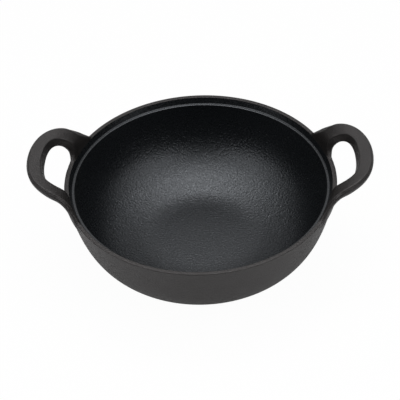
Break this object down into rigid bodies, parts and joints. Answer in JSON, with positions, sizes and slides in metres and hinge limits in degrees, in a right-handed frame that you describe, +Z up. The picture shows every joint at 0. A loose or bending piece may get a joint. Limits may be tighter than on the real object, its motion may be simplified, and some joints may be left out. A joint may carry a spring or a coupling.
{
  "type": "balti dish",
  "caption": "Lidless black enamelled cast-iron balti dish: a round deep bowl on a small flat foot, a lip with a lid ledge, and upswept loop handles.",
  "frame": {"origin": "on the table, under the middle of the flat foot", "axes": "+X out through the right handle, +Z up; the picture looks along +Y and down"},
  "size_m": [0.3064, 0.2438, 0.1053],
  "materials": {
    "bare_iron": "ground, dull",
    "enamelled_iron": "matte black enamel",
    "outer_coat": "matte black enamel",
    "inner_coat": "satin black enamel, finely pebbled"
  },
  "bodies": {
    "root": {"base_plate": "bare_iron", "bowl_wall": "bare_iron", "rim_band": "enamelled_iron", "outer_enamel": "outer_coat", "inner_enamel": "inner_coat", "right_handle": "enamelled_iron", "left_handle": "enamelled_iron"}
  },
  "joints": []
}
